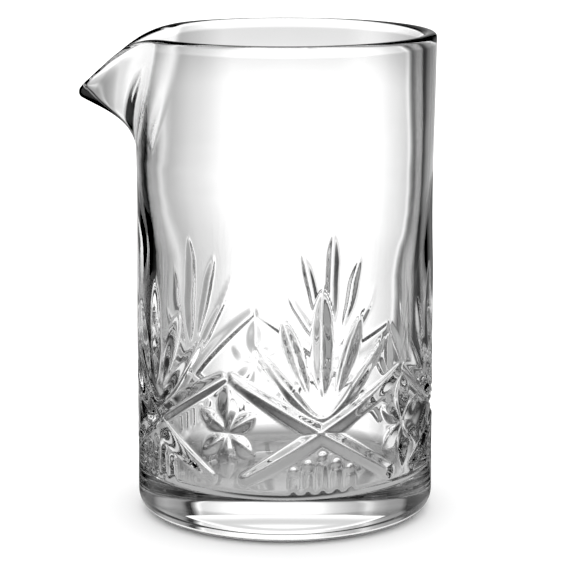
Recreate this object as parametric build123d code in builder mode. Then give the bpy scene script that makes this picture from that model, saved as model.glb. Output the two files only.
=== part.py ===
from build123d import *
from math import asin, atan2, cos, degrees, hypot, pi, radians, sin
import os

# Mixing glass: a straight-sided tumbler of clear soda-lime glass with a heavy foot, a
# fire-polished rim, a pouring beak and a five-fold pressed pattern round its lower half.
# The whole vessel is a single gather of glass, so the model is one piece.
#
# Millimetres. Z is up, the origin is on the glass's axis at the table, and the beak points to -X.

# --- Driving dimensions -----------------------------------------------------------------

height = 146.0            # table to the top of the rim
body_radius = 45.0        # outside of the wall behind the pattern
waist_inset = 0.4         # how far the wall draws in between the pattern and the rim
rim_flare = 0.3           # how far the rim stands out past the body
rim_wall = 4.0            # thickness of the rim, which ends in a full round
foot_wall = 6.9           # thickness of the wall just above the floor
shoulder_wall = 5.3       # thickness of the wall at the top of the pattern
base_thickness = 12.0     # solid glass under the floor
foot_radius = 6.0         # rounding of the outside corner at the foot
floor_radius = 4.0        # rounding of the inside corner at the floor
mouth_depth = 41.0        # length of the plain cylindrical mouth, from the top of the rim
stand_ring = 5.0          # width of the flat ring that the glass stands on
punt_depth = 0.8          # depth of the shallow hollow inside that ring
punt_slope = 2.0          # width of the sloping edge of that hollow

spout_reach = 17.4        # tip of the beak beyond the wall
spout_wall = 3.0          # thickness of the beak

pattern_units = 5         # repeats of the pattern round the glass
pattern_top = 76.0        # height of the tip of the tallest leaf
cross_height = 33.4       # height of the crossing of the two long mitres
arm_rise = 17.0           # climb of a long mitre from the crossing to its end
star_height = 33.4        # height of the centre of the star between two units

# Grooves of the fan above the crossing: offset and height of the root and of the tip from the
# unit's centre line, half width and depth. Each one but the first has a mirror twin.
fan_leaves = [
    ((0.0, 43.5), (0.0, pattern_top), 2.9, 1.7),
    ((3.8, 43.5), (11.9, 67.5), 2.2, 1.6),
    ((5.2, 41.0), (20.9, 60.3), 2.2, 1.6),
]
arm_half_width = 2.7
arm_depth = 1.8

# Petals of the star: turn from straight up, length, half width and depth
star_petals = [
    (0.0, 15.5, 2.2, 1.3),
    (50.0, 10.0, 1.9, 1.2),
    (-50.0, 10.0, 1.9, 1.2),
    (130.0, 10.0, 1.9, 1.2),
    (-130.0, 10.0, 1.9, 1.2),
    (180.0, 13.0, 2.2, 1.3),
]
petal_gap = 0.6           # clear glass between the star's centre and the root of a petal

flute_pitch = 4.3         # spacing of the short upright flutes below the crossing
flute_bottom = 16.0
flute_tops = [28.1, 25.9, 23.9]
flute_radius = 1.6        # half width of a flute
flute_depth = 0.8

# --- Sizes worked out from them ---------------------------------------------------------

waist_radius = body_radius - waist_inset
rim_radius = body_radius + rim_flare
punt_radius = body_radius - foot_radius - stand_ring
rim_round = rim_wall / 2
rim_centre = rim_radius - rim_round
mouth_radius = rim_radius - rim_wall
mouth_bottom = height - mouth_depth
waist_height = (pattern_top + height) / 2 - rim_wall
foot_bore = body_radius - foot_wall
shoulder_bore = body_radius - shoulder_wall
unit_pitch = 2 * pi * body_radius / pattern_units
cut_clearance = 5.0       # how far a cutter stands proud of what it cuts


# --- Helpers ----------------------------------------------------------------------------

def groove_cutter(offset, z, lean, length, half_width, depth):
    """The V-edged piece of a wheel or ring that leaves a leaf-shaped groove in the wall.

    The groove's middle is at the arc length offset from the unit's centre line and at height z.
    It leans by lean degrees from upright, and fades out at both ends. On a wall that falls away
    faster than the groove does, the edge is the inside of a ring, and otherwise a wheel's rim.
    """
    wall_bend = sin(radians(lean)) ** 2 / body_radius
    edge_bend = wall_bend - 8 * depth / length**2
    edge_radius = abs(1 / edge_bend)
    outward = 1 if edge_bend > 0 else -1
    spread = half_width / depth
    back = edge_radius + outward * cut_clearance
    sweep = 2 * degrees(asin((length / 2 + cut_clearance / 2) / edge_radius))
    with BuildPart(mode=Mode.PRIVATE) as wheel:
        with BuildSketch(Plane.XZ):
            Polygon(
                (outward * edge_radius, 0),
                (outward * back, spread * cut_clearance),
                (outward * back, -spread * cut_clearance),
                align=None,
            )
        revolve(axis=Axis.Z, revolution_arc=sweep)
    centre = body_radius - depth - outward * edge_radius
    upright = Rot(90, 0, 0) * Rot(0, 0, -sweep / 2) * wheel.part
    return Rot(0, 0, degrees(offset / body_radius)) * Pos(centre, 0, z) * Rot(-lean, 0, 0) * upright


def flute_cutter(offset, top):
    """An upright round-bottomed flute with a domed top and bottom."""
    run = top - flute_bottom - 2 * flute_radius
    sink = (flute_radius**2 - flute_depth**2) / (2 * flute_depth)
    ball_radius = flute_depth + sink
    with BuildPart(mode=Mode.PRIVATE) as capsule:
        with BuildSketch(Plane.XZ):
            with BuildLine():
                Line((0, -run / 2 - ball_radius), (0, run / 2 + ball_radius))
                RadiusArc((0, run / 2 + ball_radius), (ball_radius, run / 2), ball_radius)
                Line((ball_radius, run / 2), (ball_radius, -run / 2))
                RadiusArc((ball_radius, -run / 2), (0, -run / 2 - ball_radius), ball_radius)
            make_face()
        revolve(axis=Axis.Z)
    turn = Rot(0, 0, degrees(offset / body_radius))
    return turn * Pos(body_radius + sink, 0, (top + flute_bottom) / 2) * capsule.part


def between(start, end):
    """Middle, lean and length of a groove that runs from start to end."""
    run, rise = end[0] - start[0], end[1] - start[1]
    middle = ((start[0] + end[0]) / 2, (start[1] + end[1]) / 2)
    return middle, degrees(atan2(run, rise)), hypot(run, rise)


def unit_cutters():
    """Every groove of one unit of the pattern, round the unit's centre line at azimuth 0."""
    cutters = []
    for root, tip, half_width, depth in fan_leaves:
        for side in [1, -1] if tip[0] else [1]:
            middle, lean, length = between(
                (side * root[0], root[1]), (side * tip[0], tip[1])
            )
            cutters.append(groove_cutter(*middle, lean, length, half_width, depth))
    for side in [1, -1]:
        arm = (side * unit_pitch / 2, cross_height + arm_rise)
        other = (-arm[0], 2 * cross_height - arm[1])
        middle, lean, length = between(other, arm)
        cutters.append(groove_cutter(*middle, lean, length, arm_half_width, arm_depth))
    for turn, length, half_width, depth in star_petals:
        reach = petal_gap + length / 2
        u = unit_pitch / 2 + reach * sin(radians(turn))
        z = star_height + reach * cos(radians(turn))
        cutters.append(groove_cutter(u, z, turn, length, half_width, depth))
    for step, top in enumerate(flute_tops):
        for side in [1, -1] if step else [1]:
            cutters.append(flute_cutter(side * step * flute_pitch, top))
    return cutters


# --- The vessel -------------------------------------------------------------------------

# Stations along the beak, from inside the mouth to the tip: distance past the body radius as a
# share of the reach, half width of the lip, drop of the lip and of the keel below the rim.
spout_stations = [
    (-0.46, 25.4, 0.0, 40.0),
    (0.0, 12.8, 4.4, 33.2),
    (0.35, 6.5, 8.1, 26.5),
    (0.69, 3.8, 12.5, 23.2),
    (0.90, 2.7, 15.6, 21.4),
    (1.0, 1.2, 17.4, 19.6),
]
spout_belly = 0.58        # width of the beak at half its height, as a share of its lip's
slit_half_width = 0.4     # half width of the channel where it runs out at the tip

lip_line = [
    (-body_radius - spout_reach * share, height - drop)
    for share, _, drop, _ in spout_stations
]


def beak_section(share, half_width, lip_drop, keel_drop, wall=0.0):
    """The U-shaped section of the beak across the pouring direction, with its open top drawn
    straight up past the lip. A wall draws the channel instead, that far inside the section."""
    lip = height - lip_drop
    keel = height - keel_drop + wall
    side = max(half_width - wall, slit_half_width)
    with BuildSketch(Plane.YZ.offset(-body_radius - spout_reach * share)) as section:
        with BuildLine():
            Spline(
                (-side, lip),
                (-spout_belly * side, (lip + keel) / 2),
                (0, keel),
                (spout_belly * side, (lip + keel) / 2),
                (side, lip),
            )
            Polyline(
                (side, lip),
                (side, lip + 2 * cut_clearance),
                (-side, lip + 2 * cut_clearance),
                (-side, lip),
            )
        make_face()
    return section.sketch


with BuildPart() as glass_vessel:
    # outside: base, foot, wall with its slight waist, and the outer half of the rim
    with BuildSketch(Plane.XZ):
        with BuildLine():
            Polyline(
                (0, punt_depth),
                (punt_radius - punt_slope, punt_depth),
                (punt_radius, 0),
                (body_radius - foot_radius, 0),
            )
            RadiusArc(
                (body_radius - foot_radius, 0), (body_radius, foot_radius), -foot_radius
            )
            Line((body_radius, foot_radius), (body_radius, pattern_top))
            Spline(
                (body_radius, pattern_top),
                (waist_radius, waist_height),
                (rim_radius, height - rim_round),
                tangents=[(0, 1), (0, 1)],
            )
            RadiusArc((rim_radius, height - rim_round), (rim_centre, height), -rim_round)
            Polyline((rim_centre, height), (0, height), (0, punt_depth))
        make_face()
    revolve(axis=Axis.Z)

    # the beak, lofted along the pouring direction
    loft([beak_section(*station) for station in spout_stations])

    # the lip: everything above its slope goes
    with BuildSketch(Plane.XZ):
        with BuildLine():
            Polyline(*lip_line)
            Polyline(
                lip_line[-1],
                (lip_line[-1][0] - cut_clearance, lip_line[-1][1]),
                (lip_line[-1][0] - cut_clearance, height + 3 * cut_clearance),
                (lip_line[0][0], height + 3 * cut_clearance),
                lip_line[0],
            )
        make_face()
    extrude(amount=body_radius, both=True, mode=Mode.SUBTRACT)

    # inside: floor, tapering wall, plain mouth and the inner half of the rim
    with BuildSketch(Plane.XZ):
        with BuildLine():
            Line((0, base_thickness), (foot_bore - floor_radius, base_thickness))
            RadiusArc(
                (foot_bore - floor_radius, base_thickness),
                (foot_bore, base_thickness + floor_radius),
                -floor_radius,
            )
            Line((foot_bore, base_thickness + floor_radius), (shoulder_bore, pattern_top))
            Spline(
                (shoulder_bore, pattern_top),
                (mouth_radius, mouth_bottom),
                tangents=[
                    (shoulder_bore - foot_bore, pattern_top - base_thickness - floor_radius),
                    (0, 1),
                ],
            )
            Line((mouth_radius, mouth_bottom), (mouth_radius, height - rim_round))
            RadiusArc((mouth_radius, height - rim_round), (rim_centre, height), rim_round)
            Polyline(
                (rim_centre, height),
                (rim_centre, height + cut_clearance),
                (0, height + cut_clearance),
                (0, base_thickness),
            )
        make_face()
    revolve(axis=Axis.Z, mode=Mode.SUBTRACT)

    # the channel that the drink pours along
    loft([beak_section(*station, spout_wall) for station in spout_stations], mode=Mode.SUBTRACT)

    # the pressed pattern, one unit facing away from the beak and the rest in even steps
    with PolarLocations(0, pattern_units):
        add(unit_cutters(), mode=Mode.SUBTRACT)

glass_vessel.part.label = "glass_vessel"
os.makedirs("parts", exist_ok=True)
export_step(glass_vessel.part, "parts/glass_vessel.step")
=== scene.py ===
# %% [markdown]
# # A mixing glass in pressed glass
#
# The object is one piece of clear glass: a heavy foot, a straight wall that thins towards the
# top, a fire-polished rim with a pouring beak, and a band of fans, crossed mitres and stars
# that the mould presses into the lower half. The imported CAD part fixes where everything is.
# Here the same vessel is made again as one fine mesh with soft, melted edges, because glass
# shows the smallest fault in a surface, and then it is lit the way a glass is lit in a studio.

# %% Load the frame
import math

import bmesh
import bpy
import numpy as np
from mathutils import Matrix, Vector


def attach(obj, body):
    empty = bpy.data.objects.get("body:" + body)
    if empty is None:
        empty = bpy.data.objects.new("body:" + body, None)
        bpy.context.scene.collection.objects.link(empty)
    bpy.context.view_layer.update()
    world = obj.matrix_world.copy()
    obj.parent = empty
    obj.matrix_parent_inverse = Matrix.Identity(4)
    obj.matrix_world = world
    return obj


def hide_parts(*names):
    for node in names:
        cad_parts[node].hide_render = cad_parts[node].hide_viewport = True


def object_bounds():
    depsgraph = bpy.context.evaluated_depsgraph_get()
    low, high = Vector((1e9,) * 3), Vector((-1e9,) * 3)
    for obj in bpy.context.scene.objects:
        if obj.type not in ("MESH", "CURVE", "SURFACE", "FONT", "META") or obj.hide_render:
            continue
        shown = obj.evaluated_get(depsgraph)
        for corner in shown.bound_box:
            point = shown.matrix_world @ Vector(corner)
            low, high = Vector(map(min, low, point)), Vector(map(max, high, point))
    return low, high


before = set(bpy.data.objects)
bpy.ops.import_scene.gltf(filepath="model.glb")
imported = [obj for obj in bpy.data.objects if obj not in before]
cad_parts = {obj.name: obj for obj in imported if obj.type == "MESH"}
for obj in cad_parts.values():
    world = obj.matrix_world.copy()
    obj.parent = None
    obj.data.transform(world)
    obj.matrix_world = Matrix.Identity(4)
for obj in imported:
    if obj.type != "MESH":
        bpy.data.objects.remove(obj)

cad_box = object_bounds()
print("CAD box, metres:", [[round(value, 4) for value in corner] for corner in cad_box])

# %% [markdown]
# ## Camera
#
# The glass is seen from a little above its rim, with a long lens from about five body
# heights away, so its sides stay almost parallel. The beak points to -X, to the left. The
# camera stands a few degrees towards +X, which turns the beak just past square to the view.

# %% Place the camera
MM = 0.001
CAMERA_TURN = math.radians(4.0)
CAMERA_REACH = 745 * MM
CAMERA_HEIGHT = 220 * MM
CAMERA_PITCH = math.radians(11.54)
CAMERA_YAW = math.radians(0.07)

camera_data = bpy.data.cameras.new("camera")
camera_data.sensor_width = 36
camera_data.lens = 156.25
camera = bpy.data.objects.new("camera", camera_data)
camera.location = (
    CAMERA_REACH * math.sin(CAMERA_TURN),
    -CAMERA_REACH * math.cos(CAMERA_TURN),
    CAMERA_HEIGHT,
)
camera.rotation_euler = (math.pi / 2 - CAMERA_PITCH, 0, CAMERA_TURN - CAMERA_YAW)
bpy.context.scene.collection.objects.link(camera)
bpy.context.scene.camera = camera
print("camera at", [round(value, 3) for value in camera.location])

# %% [markdown]
# ## The vessel's outline
#
# A pressed glass is a body of revolution before its beak is pulled, so one half outline, spun
# round the axis, gives foot, wall, rim, inside and floor as one closed skin. The outline is
# worked out from a few sizes: straight runs are stepped evenly, and corners are arcs. The rows
# are closest together in the pattern band, where the mould's relief needs them.

# %% Sizes of the vessel, in millimetres
HEIGHT = cad_box[1][2] / MM
BODY_RADIUS = 45.0
WAIST_RADIUS = 44.6
RIM_RADIUS = 45.3
RIM_ROUND = 2.0
RIM_FLATNESS = 0.6
FOOT_ROUND = 6.0
PUNT_RADIUS = 34.0
PUNT_DEPTH = 2.2
FLOOR_HEIGHT = 12.0
FLOOR_ROUND = 4.0
FOOT_BORE = 38.1
SHOULDER_BORE = 39.7
MOUTH_BORE = 41.3
PATTERN_BOTTOM = 14.0
PATTERN_FINE = 20.0
PATTERN_SPARSE = 53.0
PATTERN_TOP = 78.0
TAPER_TOP = 76.0
SHOULDER_BOTTOM = 70.0
MOUTH_BOTTOM = 105.0
WAIST_BOTTOM = 72.0
WAIST_TOP = 92.0
FLARE_BOTTOM = 98.0
PULL_BOTTOM = 108.0
WALL_BOTTOM = FLOOR_HEIGHT + FLOOR_ROUND
RIM_LEVEL = HEIGHT - RIM_ROUND * RIM_FLATNESS
print("height", round(HEIGHT, 2), "mm, rim level", round(RIM_LEVEL, 2), "mm")


# %% Outline of the vessel as rows of radius and height
def smoothstep(value, low, high):
    """A soft step from 0 at low to 1 at high."""
    t = np.clip((value - low) / (high - low), 0, 1)
    return t * t * (3 - 2 * t)


def outer_radius(z):
    """Outside of the wall: straight behind the pattern, a slight waist, then out to the rim."""
    to_waist = (WAIST_RADIUS - BODY_RADIUS) * smoothstep(z, WAIST_BOTTOM, WAIST_TOP)
    to_rim = (RIM_RADIUS - WAIST_RADIUS) * smoothstep(z, FLARE_BOTTOM, RIM_LEVEL)
    return BODY_RADIUS + to_waist + to_rim


def inner_radius(z):
    """Inside of the wall: a straight taper, then out to the plain mouth."""
    climbed = (z - WALL_BOTTOM) / (TAPER_TOP - WALL_BOTTOM)
    taper = FOOT_BORE + (SHOULDER_BORE - FOOT_BORE) * climbed
    return taper + (MOUTH_BORE - taper) * smoothstep(z, SHOULDER_BOTTOM, MOUTH_BOTTOM)


def arc(centre, radius, start, end, steps):
    """Points on an arc from one angle to the other, in degrees."""
    return [
        (centre[0] + radius * math.cos(a), centre[1] + radius * math.sin(a))
        for a in np.radians(np.linspace(start, end, steps + 1))
    ]


def rows(radius_of, start, end, steps):
    """Points up or down a wall whose radius is a function of height."""
    return [(float(radius_of(z)), float(z)) for z in np.linspace(start, end, steps + 1)]

# %% The whole outline, from the hollow under the foot up and over the rim to the floor
PUNT_ROWS = 6
ROUND_ROWS = 10
FOOT_ROWS = 3
PATTERN_ROWS = (8, 52, 20)
PLAIN_ROWS = 6
PULLED_ROWS = 16
INSIDE_ROWS = 3
CORNER_ROWS = 6
FLOOR_MIDDLE = 18.0

outline = [
    (float(r), float(PUNT_DEPTH * (1 - (r / PUNT_RADIUS) ** 2)))
    for r in np.linspace(0, PUNT_RADIUS, PUNT_ROWS + 1)
]
outline += arc((BODY_RADIUS - FOOT_ROUND, FOOT_ROUND), FOOT_ROUND, -90, 0, ROUND_ROWS)
outline += rows(outer_radius, FOOT_ROUND, PATTERN_BOTTOM, FOOT_ROWS)[1:]
outline += rows(outer_radius, PATTERN_BOTTOM, PATTERN_FINE, PATTERN_ROWS[0])[1:]
outline += rows(outer_radius, PATTERN_FINE, PATTERN_SPARSE, PATTERN_ROWS[1])[1:]
outline += rows(outer_radius, PATTERN_SPARSE, PATTERN_TOP, PATTERN_ROWS[2])[1:]
outline += rows(outer_radius, PATTERN_TOP, PULL_BOTTOM, PLAIN_ROWS)[1:]
outline += rows(outer_radius, PULL_BOTTOM, RIM_LEVEL, PULLED_ROWS)[1:]
outline += [
    (r, RIM_LEVEL + rise * RIM_FLATNESS)
    for r, rise in arc((RIM_RADIUS - RIM_ROUND, 0.0), RIM_ROUND, 0, 180, ROUND_ROWS)[1:]
]
outline += rows(inner_radius, RIM_LEVEL, PULL_BOTTOM, PULLED_ROWS)[1:]
outline += rows(inner_radius, PULL_BOTTOM, SHOULDER_BOTTOM, PLAIN_ROWS)[1:]
outline += rows(inner_radius, SHOULDER_BOTTOM, WALL_BOTTOM, INSIDE_ROWS)[1:]
outline += arc((FOOT_BORE - FLOOR_ROUND, WALL_BOTTOM), FLOOR_ROUND, 0, -90, CORNER_ROWS)[1:]
outline += [(FLOOR_MIDDLE, FLOOR_HEIGHT), (0.0, FLOOR_HEIGHT)]
print("outline points:", len(outline))

# %% [markdown]
# ## Spinning the skin
#
# The outline is a few connected vertices, and one spin with its ends merged turns it into the
# vessel. The number of steps is a multiple of five, so that each of the pattern's five units
# gets the same columns, with one column exactly on its centre line.

# %% Spin the outline round the axis
COLUMNS = 600
MERGE_DISTANCE = 1e-4


def spun_skin(points, columns):
    """A bmesh of an outline of radius and height, spun once round Z."""
    skin = bmesh.new()
    corners = [skin.verts.new((r, 0, z)) for r, z in points]
    for first, second in zip(corners, corners[1:]):
        skin.edges.new((first, second))
    bmesh.ops.spin(
        skin,
        geom=skin.verts[:] + skin.edges[:],
        cent=(0, 0, 0),
        axis=(0, 0, 1),
        angle=2 * math.pi,
        steps=columns,
        use_merge=True,
    )
    bmesh.ops.remove_doubles(skin, verts=skin.verts[:], dist=MERGE_DISTANCE)
    bmesh.ops.recalc_face_normals(skin, faces=skin.faces[:])
    return skin


skin = spun_skin(outline, COLUMNS)
vessel_mesh = bpy.data.meshes.new("glass_vessel_skin")
skin.to_mesh(vessel_mesh)
skin.free()
place = np.empty(len(vessel_mesh.vertices) * 3)
vessel_mesh.vertices.foreach_get("co", place)
place = place.reshape(-1, 3)
print("spun skin:", len(place), "vertices,", len(vessel_mesh.polygons), "faces")

# %% [markdown]
# ## The pressed pattern
#
# The mould leaves leaf-shaped grooves with V flanks, and the hot glass flows a little, so each
# edge and each bottom is soft. Every groove is a height field: deepest along its own centre
# line, fading to the wall at its sides and ends. The grooves are joined with a rounded
# maximum, which tells each vertex of the outer wall how far to sink.

# %% The height field of one groove
BOTTOM_SOFTNESS = 0.25
EDGE_SOFTNESS = 0.22


def groove(u, z, start, end, half_width, depth, blunt, skew=0.0, cap=0.0):
    """Depth of a V groove from start to end. Blunt is the fullness of its outline, skew moves
    its widest place towards the end, and cap is the half width left at the ends."""
    middle = ((start[0] + end[0]) / 2, (start[1] + end[1]) / 2)
    half_length = math.hypot(end[0] - start[0], end[1] - start[1]) / 2
    run = ((end[0] - start[0]) / 2 / half_length, (end[1] - start[1]) / 2 / half_length)
    along = (u - middle[0]) * run[0] + (z - middle[1]) * run[1]
    across = (u - middle[0]) * run[1] - (z - middle[1]) * run[0]
    share = np.clip(along / half_length, -1, 1)
    width = (half_width - cap) * (1 - np.abs(share) ** blunt) * (1 + skew * share) + cap
    beyond = np.maximum(np.abs(along) - half_length, 0)
    aside = np.sqrt(across**2 + beyond**2 + BOTTOM_SOFTNESS**2)
    return depth / half_width * (width - aside)


def soft_max(first, second, softness):
    """The larger of two depths, with the corner between them rounded."""
    blend = np.maximum(softness - np.abs(first - second), 0) / softness
    return np.maximum(first, second) + blend * blend * softness / 4


print("grooves are soft over", BOTTOM_SOFTNESS, "mm at the bottom,", EDGE_SOFTNESS, "mm at the edge")

# %% The curved groove that joins the two outer leaves
BOW_ROOT_SHARE = 0.42
BOW_TIP_POWER = 3.0
BOW_END_SLOPE = 1.6


def bow(u, z, foot, bend, slope, tip, half_width, depth):
    """A V groove along a hyperbola: round at the unit's centre line, at height foot, and
    straight towards its two tips. It is narrow in the round and fullest halfway out."""
    line = foot + slope * (np.sqrt(u**2 + bend**2) - bend)
    lean = slope * u / np.sqrt(u**2 + bend**2)
    across = (z - line) / np.sqrt(1 + lean**2)
    share = np.abs(u) / tip
    fullness = BOW_ROOT_SHARE + (1 - BOW_ROOT_SHARE) * smoothstep(share, 0.05, 0.5)
    width = half_width * fullness * (1 - np.minimum(share, 1) ** BOW_TIP_POWER)
    beyond = np.maximum(np.abs(u) - tip, 0) * BOW_END_SLOPE
    aside = np.sqrt(across**2 + beyond**2 + BOTTOM_SOFTNESS**2)
    return depth / half_width * (width - aside)


# %% Sizes of one unit of the pattern, in millimetres
UNITS = 5
UNIT_PITCH = 2 * math.pi * BODY_RADIUS / UNITS

# A leaf is its foot, its tip, its half width, its depth and the fullness of its outline.
MIDDLE_LEAF = ((0, 43.5), (0, 76), 2.9, 1.9, 3.0)
SIDE_LEAF = ((3.6, 43.5), (11.9, 67.5), 2.1, 1.8, 2.2, 0.3)

# The bow is the height of its foot, its bend, its slope, its tip, its half width and its depth.
BOW = (38.1, 4.6, 1.33, 20.9, 2.2, 1.9)

CROSS_HEIGHT = 33.4
ARM_SLOPE = 0.6
ARM_LOW = 22.8
ARM_HIGH = 26.9
ARM_HALF_WIDTH = 2.7
ARM_DEPTH = 2.0
ARM_FULLNESS = 2.4
ARM_CAP = 1.9

STAR_HEIGHT = 33.4
STAR_HEART = 0.4
STAR_FULLNESS = 2.0
UPPER_PETAL = (48.5, 3.2, 1.7)
LOWER_PETAL = (19.5, 3.0, 1.6)
SLANT_TURNS = (55, 130)
SLANT_LENGTH = 11
SLANT_HALF_WIDTH = 2.6
SLANT_DEPTH = 1.5

FLUTE_PITCH = 4.3
FLUTE_BOTTOM = 17.6
FLUTE_HALF_WIDTH = 1.7
FLUTE_CAP = 1.65
FLUTE_DEPTH = 0.7
FLUTE_FULLNESS = 2.0
BALL_HEIGHTS = [26.7, 24.5, 22.5]
BALL_RADIUS = 1.4
BALL_DEPTH = 0.8
BALL_ABOVE_FLUTE = 2.2
print("each of", UNITS, "units is", round(UNIT_PITCH, 1), "mm wide")


# %% The fan and the crossed mitres of one unit
def mirrored(field, u, z):
    """A field and its mirror twin on the other side of the unit's centre line."""
    return np.maximum(field(u, z), field(-u, z))


def fan_fields(u, z):
    """The five leaves: one in the middle, two beside it, and the bow that makes the outer two."""
    return [
        groove(u, z, *MIDDLE_LEAF),
        mirrored(lambda a, b: groove(a, b, *SIDE_LEAF), u, z),
        bow(u, z, *BOW),
    ]


def arm_field(u, z):
    """The two long mitres that cross on the unit's centre line."""
    low = (-ARM_LOW, CROSS_HEIGHT - ARM_SLOPE * ARM_LOW)
    high = (ARM_HIGH, CROSS_HEIGHT + ARM_SLOPE * ARM_HIGH)
    return mirrored(
        lambda a, b: groove(
            a, b, low, high, ARM_HALF_WIDTH, ARM_DEPTH, ARM_FULLNESS, cap=ARM_CAP
        ), u, z,
    )


# %% The star between two units
def petal(u, z, turn, length, half_width, depth):
    """One petal, turned in degrees from straight up, with its root near the star's heart."""
    run = (math.sin(math.radians(turn)), math.cos(math.radians(turn)))
    root = (STAR_HEART * run[0], STAR_HEIGHT + STAR_HEART * run[1])
    tip = (length * run[0], STAR_HEIGHT + length * run[1])
    return groove(u, z, root, tip, half_width, depth, STAR_FULLNESS)


def star_fields(u, z):
    """Six petals: one up, one down and two slanting pairs."""
    star_u = np.abs(u) - UNIT_PITCH / 2
    top, top_half_width, top_depth = UPPER_PETAL
    bottom, bottom_half_width, bottom_depth = LOWER_PETAL
    root = (0, STAR_HEIGHT + STAR_HEART)
    foot = (0, STAR_HEIGHT - STAR_HEART)
    fields = [
        groove(star_u, z, root, (0, top), top_half_width, top_depth, STAR_FULLNESS),
        groove(star_u, z, foot, (0, bottom), bottom_half_width, bottom_depth, STAR_FULLNESS),
    ]
    for turn in SLANT_TURNS:
        slant = mirrored(
            lambda a, b: petal(a, b, turn, SLANT_LENGTH, SLANT_HALF_WIDTH, SLANT_DEPTH), star_u, z
        )
        fields.append(slant)
    return fields


# %% The flutes under the crossing
def ball(u, z, middle, radius, depth):
    """The hollow that a ball leaves, with an even edge all round."""
    away = ((u - middle[0]) ** 2 + (z - middle[1]) ** 2) / radius**2
    return depth * (1 - away)


def flute(u, z, flute_u, top):
    """One flute, from the foot up to just under its ball."""
    start = (flute_u, FLUTE_BOTTOM)
    end = (flute_u, top - BALL_ABOVE_FLUTE)
    return groove(
        u, z, start, end, FLUTE_HALF_WIDTH, FLUTE_DEPTH, FLUTE_FULLNESS, cap=FLUTE_CAP
    )


def flute_fields(u, z):
    """Five flutes in mirrored pairs, each with a ball on top."""
    fields = []
    for step, top in enumerate(BALL_HEIGHTS):
        flute_u = step * FLUTE_PITCH
        middle = (flute_u, top)
        fields.append(mirrored(lambda a, b: flute(a, b, flute_u, top), u, z))
        fields.append(mirrored(lambda a, b: ball(a, b, middle, BALL_RADIUS, BALL_DEPTH), u, z))
    return fields


def pattern_depth(u, z):
    """How far the mould presses in at arc length u from a unit's centre line and height z."""
    depth = np.zeros_like(u)
    for field in fan_fields(u, z) + [arm_field(u, z)] + star_fields(u, z) + flute_fields(u, z):
        depth = soft_max(depth, field, EDGE_SOFTNESS)
    return depth


crossing = pattern_depth(np.array([0.0]), np.array([CROSS_HEIGHT]))
print("the mitres cross", round(float(crossing[0]), 2), "mm deep")

# %% Press the pattern into the outer wall
PATTERN_SKIN = 1.5
PATTERN_MARGIN = 1.0


def press_pattern(place):
    """Moves the outer wall's vertices in by the pattern's depth."""
    radius = np.hypot(place[:, 0], place[:, 1])
    z = place[:, 2]
    outside = radius > BODY_RADIUS - PATTERN_SKIN
    above = z > PATTERN_BOTTOM - PATTERN_MARGIN
    band = outside & above & (z < PATTERN_TOP + PATTERN_MARGIN)
    azimuth = np.arctan2(place[band, 1], place[band, 0])
    unit = 2 * math.pi / UNITS
    u = ((azimuth + unit / 2) % unit - unit / 2) * BODY_RADIUS
    depth = pattern_depth(u, z[band])
    place[band, :2] *= (1 - depth / radius[band])[:, None]
    return depth


pressed = press_pattern(place)
print("deepest groove", round(float(pressed.max()), 2), "mm")

# %% [markdown]
# ## The pouring beak
#
# On the real glass the rim is pulled out with a tool while it is soft, so wall, rim and beak are
# one surface, and the wall only changes its course. The same is done here: on the beak's centre
# line the wall follows a pouring line, and to the sides it runs on from there almost straight,
# seen from above, until it meets the round wall. The outside and the inside have their own
# lines, and the round bead of the lip is laid between the two edges that they end in.

# %% The two pouring lines, as radius and height, and how they run out to the sides
OUTER_LINE = [(44.7, 108.0), (44.7, 119.0), (54.5, 121.9), (61.5, 125.8)]
INNER_LINE = [(41.3, 108.0), (41.6, 118.5), (52.2, 120.4), (58.9, 128.8)]
BEAK_AZIMUTH = math.pi
OUTER_NOSE = 3.0
INNER_NOSE = 1.5
PINCH = 1.3
DIP_SPREAD = 12.7
DIP_POWER = 1.4
BEAD_FLAT = 2.0
BEAD_SPREAD = 9.0

# Columns are drawn towards the beak by this share, so that it has enough of them.
GATHER = 0.6
GATHER_BOTTOM = 80.0
print("the beak reaches", OUTER_LINE[-1][0], "mm from the axis, before its bead")


def bezier(points, t):
    """A cubic curve through the first and last of four points."""
    weights = [(1 - t) ** 3, 3 * t * (1 - t) ** 2, 3 * t * t * (1 - t), t**3]
    return (
        sum(w * p[0] for w, p in zip(weights, points)),
        sum(w * p[1] for w, p in zip(weights, points)),
    )


# %% How the wall is pulled
def flare(angle, base, reach, nose):
    """Radius of a wall pulled out to a reach, at an angle in degrees from the centre line. In a
    level section it runs from a round nose almost straight to where it touches the round wall.
    PINCH draws it in a little."""
    spread = np.degrees(np.arccos(np.clip(base / np.maximum(reach, base), 0, 1)))
    turned = np.sqrt(angle**2 + nose**2) - nose
    return base / np.cos(np.radians(np.maximum(spread - PINCH * turned, 0)))


def pulled_wall(angle, share, radius_of, line, nose):
    """Radius and height of the pulled wall, at an angle from the centre line and a share of
    the way from the bottom of the pull to the rim."""
    level = PULL_BOTTOM + share * (RIM_LEVEL - PULL_BOTTOM)
    line_r, line_z = bezier(line, share)
    base = radius_of(level)
    down = np.exp(-(np.abs(angle / DIP_SPREAD) ** DIP_POWER))
    return flare(angle, base, line_r, nose), level + down * (line_z - level)


def outer_pull(angle, share):
    return pulled_wall(angle, share, outer_radius, OUTER_LINE, OUTER_NOSE)


def inner_pull(angle, share):
    return pulled_wall(angle, share, inner_radius, INNER_LINE, INNER_NOSE)


lip_r, lip_z = outer_pull(np.zeros(1), np.ones(1))
print("outer lip at radius", round(float(lip_r[0]), 2), "and height", round(float(lip_z[0]), 2))


# %% The bead of the lip
BEAD_STEP = 0.97


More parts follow.
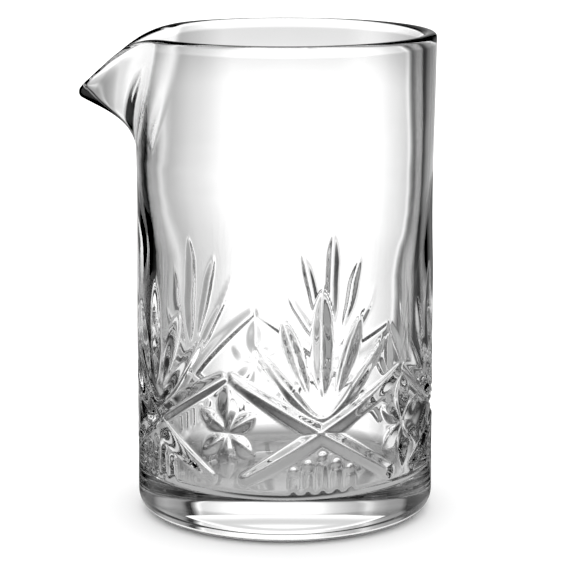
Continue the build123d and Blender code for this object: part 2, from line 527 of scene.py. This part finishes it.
def bead_fullness(angle):
    """Height of the bead as a share of half its width: flat on the rim, round on the beak."""
    near = np.exp(-(np.sqrt(angle**2 + BEAD_FLAT**2) - BEAD_FLAT) / BEAD_SPREAD)
    return RIM_FLATNESS + (1 - RIM_FLATNESS) * near


def laid_bead(angle, rise):
    """Radius and height of the bead, at a rise round it from its outer edge to its inner one.
    It bulges in the direction in which the wall climbs, square to the line between its edges."""
    at_top, below = np.ones_like(angle), np.full_like(angle, BEAD_STEP)
    outer, inner = (np.stack(pull(angle, at_top)) for pull in (outer_pull, inner_pull))
    lower = [np.stack(pull(angle, below)) for pull in (outer_pull, inner_pull)]
    centre = (outer + inner) / 2
    half = (outer - inner) / 2
    size = np.hypot(*half)
    climb = outer - lower[0] + inner - lower[1]
    climb -= half * (climb * half).sum(0) / size**2
    climb *= size * bead_fullness(angle) / np.hypot(*climb)
    return centre + half * np.cos(rise) + climb * np.sin(rise)


print("the bead is", round(2 * RIM_ROUND, 1), "mm wide on the rim")


# %% Pull the beak
LEVEL_SLACK = 1e-6


def pull_beak(place):
    """Bends the top of the wall, inside and outside, and carries the rim's bead along."""
    radius = np.hypot(place[:, 0], place[:, 1])
    z = place[:, 2].copy()
    turn = np.arctan2(place[:, 1], place[:, 0]) - BEAK_AZIMUTH
    turn = (turn + math.pi) % (2 * math.pi) - math.pi
    turn -= GATHER * np.sin(turn) * smoothstep(z, GATHER_BOTTOM, PULL_BOTTOM)
    angle = np.degrees(turn)
    middle = RIM_RADIUS - RIM_ROUND
    share = np.clip((z - PULL_BOTTOM) / (RIM_LEVEL - PULL_BOTTOM), 0, 1)
    new_r, new_z = radius.copy(), z.copy()

    wall = (z > PULL_BOTTOM) & (z <= RIM_LEVEL + LEVEL_SLACK)
    for side, pull in ((radius > middle, outer_pull), (radius <= middle, inner_pull)):
        chosen = wall & side
        new_r[chosen], new_z[chosen] = pull(angle[chosen], share[chosen])

    bead = z > RIM_LEVEL + LEVEL_SLACK
    rise = np.arctan2((z[bead] - RIM_LEVEL) / RIM_FLATNESS, radius[bead] - middle)
    new_r[bead], new_z[bead] = laid_bead(angle[bead], rise)

    place[:, 0] = new_r * np.cos(turn + BEAK_AZIMUTH)
    place[:, 1] = new_r * np.sin(turn + BEAK_AZIMUTH)
    place[:, 2] = new_z


pull_beak(place)
print("highest point of the rim at", round(float(place[:, 2].max()), 2), "mm")

# %% Put the skin in the scene
vessel_mesh.vertices.foreach_set("co", (place * MM).ravel())
vessel_mesh.update()
vessel_mesh.shade_smooth()
vessel = bpy.data.objects.new("pressed_glass_vessel", vessel_mesh)
bpy.context.scene.collection.objects.link(vessel)
triangles = sum(len(polygon.vertices) - 2 for polygon in vessel_mesh.polygons)
print("beak tip at", round(float(place[:, 0].min()), 2), "mm;", triangles, "triangles")

# %% [markdown]
# ## Clear glass
#
# Soda-lime glass has an index of 1.52 and takes almost no light away. Pressed glass isn't quite
# even: it carries faint slow waves from the mould and a hint of haze. The waves are a low bump
# on Object coordinates, and the haze is a touch of roughness.

# %% Material of the vessel
GLASS_INDEX = 1.52
WAVE_SCALE = 60
WAVE_STRENGTH = 0.04
DARKEST_TINT = 0.97
MOST_HAZE = 0.01


def clear_glass():
    """Clear glass with faint waves, from one slow noise that also carries tint and haze."""
    material = bpy.data.materials.new("clear_glass")
    material.use_nodes = True
    nodes, links = material.node_tree.nodes, material.node_tree.links
    shader = nodes["Principled BSDF"]
    shader.inputs["Metallic"].default_value = 0.0
    shader.inputs["Transmission Weight"].default_value = 1.0
    shader.inputs["IOR"].default_value = GLASS_INDEX
    coordinates = nodes.new("ShaderNodeTexCoord")
    waves = nodes.new("ShaderNodeTexNoise")
    waves.inputs["Scale"].default_value = WAVE_SCALE
    waves.inputs["Detail"].default_value = 1
    bump = nodes.new("ShaderNodeBump")
    bump.inputs["Strength"].default_value = WAVE_STRENGTH
    bump.inputs["Distance"].default_value = MM
    tint = nodes.new("ShaderNodeMapRange")
    tint.inputs["To Min"].default_value = DARKEST_TINT
    tint.inputs["To Max"].default_value = 1.0
    links.new(coordinates.outputs["Object"], waves.inputs["Vector"])
    links.new(waves.outputs["Fac"], bump.inputs["Height"])
    links.new(bump.outputs["Normal"], shader.inputs["Normal"])
    links.new(waves.outputs["Fac"], tint.inputs["Value"])
    links.new(tint.outputs["Result"], shader.inputs["Base Color"])
    haze = nodes.new("ShaderNodeMapRange")
    haze.inputs["To Min"].default_value = 0.0
    haze.inputs["To Max"].default_value = MOST_HAZE
    links.new(waves.outputs["Fac"], haze.inputs["Value"])
    links.new(haze.outputs["Result"], shader.inputs["Roughness"])
    return material


vessel_mesh.materials.append(clear_glass())
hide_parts("glass_vessel")
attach(vessel, "root")
print("vessel has", len(vessel_mesh.materials), "material")

# %% [markdown]
# ## Floor
#
# The glass stands on a plain white table top. It is evenly painted and so large and evenly lit
# that it leaves no edge or horizon in the picture.

# %% Floor
FLOOR_HALF_SIZE = 4.0
FLOOR_GREY = 0.92
FLOOR_ROUGHNESS = 0.7


def linked_object(name, mesh):
    """An object for a mesh, placed in the scene."""
    thing = bpy.data.objects.new(name, mesh)
    bpy.context.scene.collection.objects.link(thing)
    return thing


floor_mesh = bpy.data.meshes.new("floor")
slab = bmesh.new()
bmesh.ops.create_grid(slab, x_segments=1, y_segments=1, size=FLOOR_HALF_SIZE)
slab.to_mesh(floor_mesh)
slab.free()
floor = linked_object("floor", floor_mesh)


def floor_paint():
    """Matt white paint."""
    material = bpy.data.materials.new("floor_paint")
    material.use_nodes = True
    shader = material.node_tree.nodes["Principled BSDF"]
    shader.inputs["Base Color"].default_value = (FLOOR_GREY, FLOOR_GREY, FLOOR_GREY, 1)
    shader.inputs["Roughness"].default_value = FLOOR_ROUGHNESS
    return material


floor_mesh.materials.append(floor_paint())
print("floor is", 2 * FLOOR_HALF_SIZE, "m square")

# %% [markdown]
# ## Light tent
#
# Clear glass has no colour of its own to light, so a studio shows it by what stands round it: a
# white ground behind draws it bright, and black cards just outside the picture draw its dark
# edges. The tent here is that ring of cards: one lathe shape round the glass, whose glow
# changes with the bearing, closed by a darker roof. Its bottom stands in for the table under
# the glass, and there it carries painted shade: a dark glow for the glass's shadow on the table,
# with a darker painted contact shadow along the front of the foot. Only light that the glass
# bends or mirrors meets the tent. The table top is lit by the even sky outside it.

# %% Glow of the tent by bearing
BACK_BEARING = 90.0 + math.degrees(CAMERA_TURN)

# Bearings are degrees from straight behind the glass, clockwise from above to the right
# in the picture, each with its glow. They start at the side of the glass, not at its axis.
TENT_GLOW = [
    (-180, 0.55), (-132, 0.55), (-112, 0.9), (-84, 0.9), (-68, 0.2), (-58, 0.02), (-32, 0.02),
    (-28, 0.3), (-21, 0.35), (-16, 0.5), (-13, 0.9), (-10.5, 0.5), (-8, 0.58),
    (-3.5, 0.82), (0, 1.25), (3, 1.4), (5, 1.2), (8, 1.0), (12.5, 0.8),
    (14.3, 1.2), (16, 0.03), (18.2, 0.03),
    (20.5, 0.3), (30, 0.42), (36, 0.3), (42, 0.05), (58, 0.05), (84, 0.9), (112, 0.9),
    (132, 0.55), (180, 0.55),
]
GLASS_HALF_WIDTH = 0.030
print("tent glow has", len(TENT_GLOW), "stops")

# %% Painted shade of the table under the glass, and glow of the roof
# The painted shade of the table goes over to the tent's bright glow between these two distances from
# the axis.
PAINTED_SHADE_NEAR = 0.038
PAINTED_SHADE_FAR = 0.08

# Painted shade of the table under the glass by distance towards the back, in metres: a dark painted
# contact shadow at the front of the foot, lighter under the middle, darker behind.
TABLE_REACH = 0.05
PAINTED_TABLE_SHADE = [
    (-0.05, 0.02), (-0.037, 0.02), (-0.031, 0.45), (-0.004, 0.45), (0.018, 0.06), (0.05, 0.06),
]

# Share of the tent's glow by height, in metres.
DOME_TOP = 0.40
DOME_SHADE = [
    (0.0, 1.0), (0.101, 1.0), (0.107, 0.85), (0.113, 0.68), (0.13, 0.6), (0.15, 0.35),
    (0.20, 0.2), (0.40, 0.2),
]
print("table has", len(PAINTED_TABLE_SHADE), "levels, roof has", len(DOME_SHADE))


# %% Helpers for the tent's material
def math_node(nodes, links, operation, first, second=None):
    """A Math node on one or two inputs, each a socket or a number. Returns its output."""
    node = nodes.new("ShaderNodeMath")
    node.operation = operation
    for socket, source in zip(node.inputs, (first, second)):
        if isinstance(source, float):
            socket.default_value = source
        elif source is not None:
            links.new(source, socket)
    return node.outputs["Value"]


def level_ramp(nodes, levels):
    """A Color Ramp of greys, from pairs of position and level."""
    ramp = nodes.new("ShaderNodeValToRGB")
    stops = ramp.color_ramp.elements
    for index, (at, level) in enumerate(levels):
        stop = stops[index] if index < 2 else stops.new(at)
        stop.position = at
        stop.color = (level, level, level, 1)
    return ramp


def graded(nodes, links, source, levels):
    """The grey that a level ramp gives for a source. Returns its output."""
    ramp = level_ramp(nodes, levels)
    links.new(source, ramp.inputs["Fac"])
    return ramp.outputs["Color"]


def map_range(nodes, links, source, low, high):
    """A Map Range node that takes low to 0 and high to 1. Returns its output."""
    node = nodes.new("ShaderNodeMapRange")
    node.inputs["From Min"].default_value = low
    node.inputs["From Max"].default_value = high
    links.new(source, node.inputs["Value"])
    return node.outputs["Result"]


def bearing_share(nodes, links, axes):
    """Share of the way round, by bearing from the side of the glass. X points straight back."""
    aside = math_node(nodes, links, "ABSOLUTE", axes.outputs["Y"])
    past = math_node(nodes, links, "SUBTRACT", aside, GLASS_HALF_WIDTH)
    clear = math_node(nodes, links, "MAXIMUM", past, 0.0)
    side = math_node(nodes, links, "SIGN", axes.outputs["Y"])
    signed = math_node(nodes, links, "MULTIPLY", clear, side)
    bearing = math_node(nodes, links, "ARCTAN2", signed, axes.outputs["X"])
    return map_range(nodes, links, bearing, math.pi, -math.pi)


# %% Material of the tent
# The Mix node has sockets of one name for each kind of data, so these are taken by place.
MIX_SHARE, MIX_FIRST, MIX_SECOND, MIX_RESULT = 0, 6, 7, 2


def tent_cloth():
    """Emission that depends on bearing and height, with painted shade near the glass."""
    material = bpy.data.materials.new("tent_cloth")
    material.use_nodes = True
    nodes, links = material.node_tree.nodes, material.node_tree.links
    nodes.clear()
    coordinates = nodes.new("ShaderNodeTexCoord")
    turn = nodes.new("ShaderNodeMapping")
    turn.inputs["Rotation"].default_value = (0, 0, math.radians(-BACK_BEARING))
    axes = nodes.new("ShaderNodeSeparateXYZ")
    reach = nodes.new("ShaderNodeVectorMath")
    reach.operation = "LENGTH"
    links.new(coordinates.outputs["Object"], turn.inputs["Vector"])
    links.new(turn.outputs["Vector"], axes.inputs["Vector"])
    links.new(coordinates.outputs["Object"], reach.inputs[0])

    cloth_levels = [((degrees + 180) / 360, level) for degrees, level in TENT_GLOW]
    cloth = graded(nodes, links, bearing_share(nodes, links, axes), cloth_levels)
    # The table under the glass gets painted shade, graded by distance towards the back.
    back = map_range(nodes, links, axes.outputs["X"], -TABLE_REACH, TABLE_REACH)
    painted_shade_stops = [((at / TABLE_REACH + 1) / 2, level) for at, level in PAINTED_TABLE_SHADE]
    painted_table_shade = graded(nodes, links, back, painted_shade_stops)
    rise = math_node(nodes, links, "DIVIDE", axes.outputs["Z"], DOME_TOP)
    roof_levels = [(height / DOME_TOP, level) for height, level in DOME_SHADE]
    roof = graded(nodes, links, rise, roof_levels)
    # Near the axis the painted shade takes the place of the bearing glow.
    away = map_range(nodes, links, reach.outputs["Value"], PAINTED_SHADE_NEAR, PAINTED_SHADE_FAR)

    shaded = nodes.new("ShaderNodeMix")
    shaded.data_type = "RGBA"
    links.new(away, shaded.inputs[MIX_SHARE])
    links.new(painted_table_shade, shaded.inputs[MIX_FIRST])
    links.new(cloth, shaded.inputs[MIX_SECOND])
    glow = nodes.new("ShaderNodeEmission")
    links.new(shaded.outputs[MIX_RESULT], glow.inputs["Color"])
    links.new(roof, glow.inputs["Strength"])
    output = nodes.new("ShaderNodeOutputMaterial")
    links.new(glow.outputs["Emission"], output.inputs["Surface"])
    return material


# %% Tent
TENT_RADIUS = 0.30
TENT_HEIGHT = 0.30
TENT_PEAK = 0.42
TENT_BOTTOM = -1 * MM
TENT_COLUMNS = 180

tent_outline = [
    (0.0, TENT_BOTTOM), (TENT_RADIUS, TENT_BOTTOM), (TENT_RADIUS, TENT_HEIGHT), (0.0, TENT_PEAK),
]
tent_mesh = bpy.data.meshes.new("light_tent")
tent_skin = spun_skin(tent_outline, TENT_COLUMNS)
tent_skin.to_mesh(tent_mesh)
tent_skin.free()
tent = linked_object("light_tent", tent_mesh)
tent_mesh.materials.append(tent_cloth())
tent.visible_camera = False
tent.visible_diffuse = False
tent.visible_shadow = False
floor.visible_transmission = False
floor.visible_glossy = False
print("tent is", 2 * TENT_RADIUS, "m wide, with", len(tent_mesh.polygons), "faces")

# %% Sky over the table top, and how light is counted
SKY_STRENGTH = 1.6
BLACK_LEVEL = 0.02
GLASS_BOUNCES = 24
MIRROR_BOUNCES = 8
SOFT_BOUNCES = 3

world = bpy.data.worlds.new("studio")
world.use_nodes = True
sky = world.node_tree.nodes["Background"]
sky.inputs["Color"].default_value = (1, 1, 1, 1)
sky.inputs["Strength"].default_value = SKY_STRENGTH

scene = bpy.context.scene
scene.world = world
scene.view_settings.view_transform = "Standard"
scene.view_settings.use_curve_mapping = True
scene.view_settings.curve_mapping.black_level = (BLACK_LEVEL, BLACK_LEVEL, BLACK_LEVEL)
scene.view_settings.curve_mapping.update()
scene.cycles.max_bounces = GLASS_BOUNCES
scene.cycles.transmission_bounces = GLASS_BOUNCES
scene.cycles.glossy_bounces = MIRROR_BOUNCES
scene.cycles.diffuse_bounces = SOFT_BOUNCES
print("sky strength", SKY_STRENGTH, "and up to", GLASS_BOUNCES, "bounces in the glass")
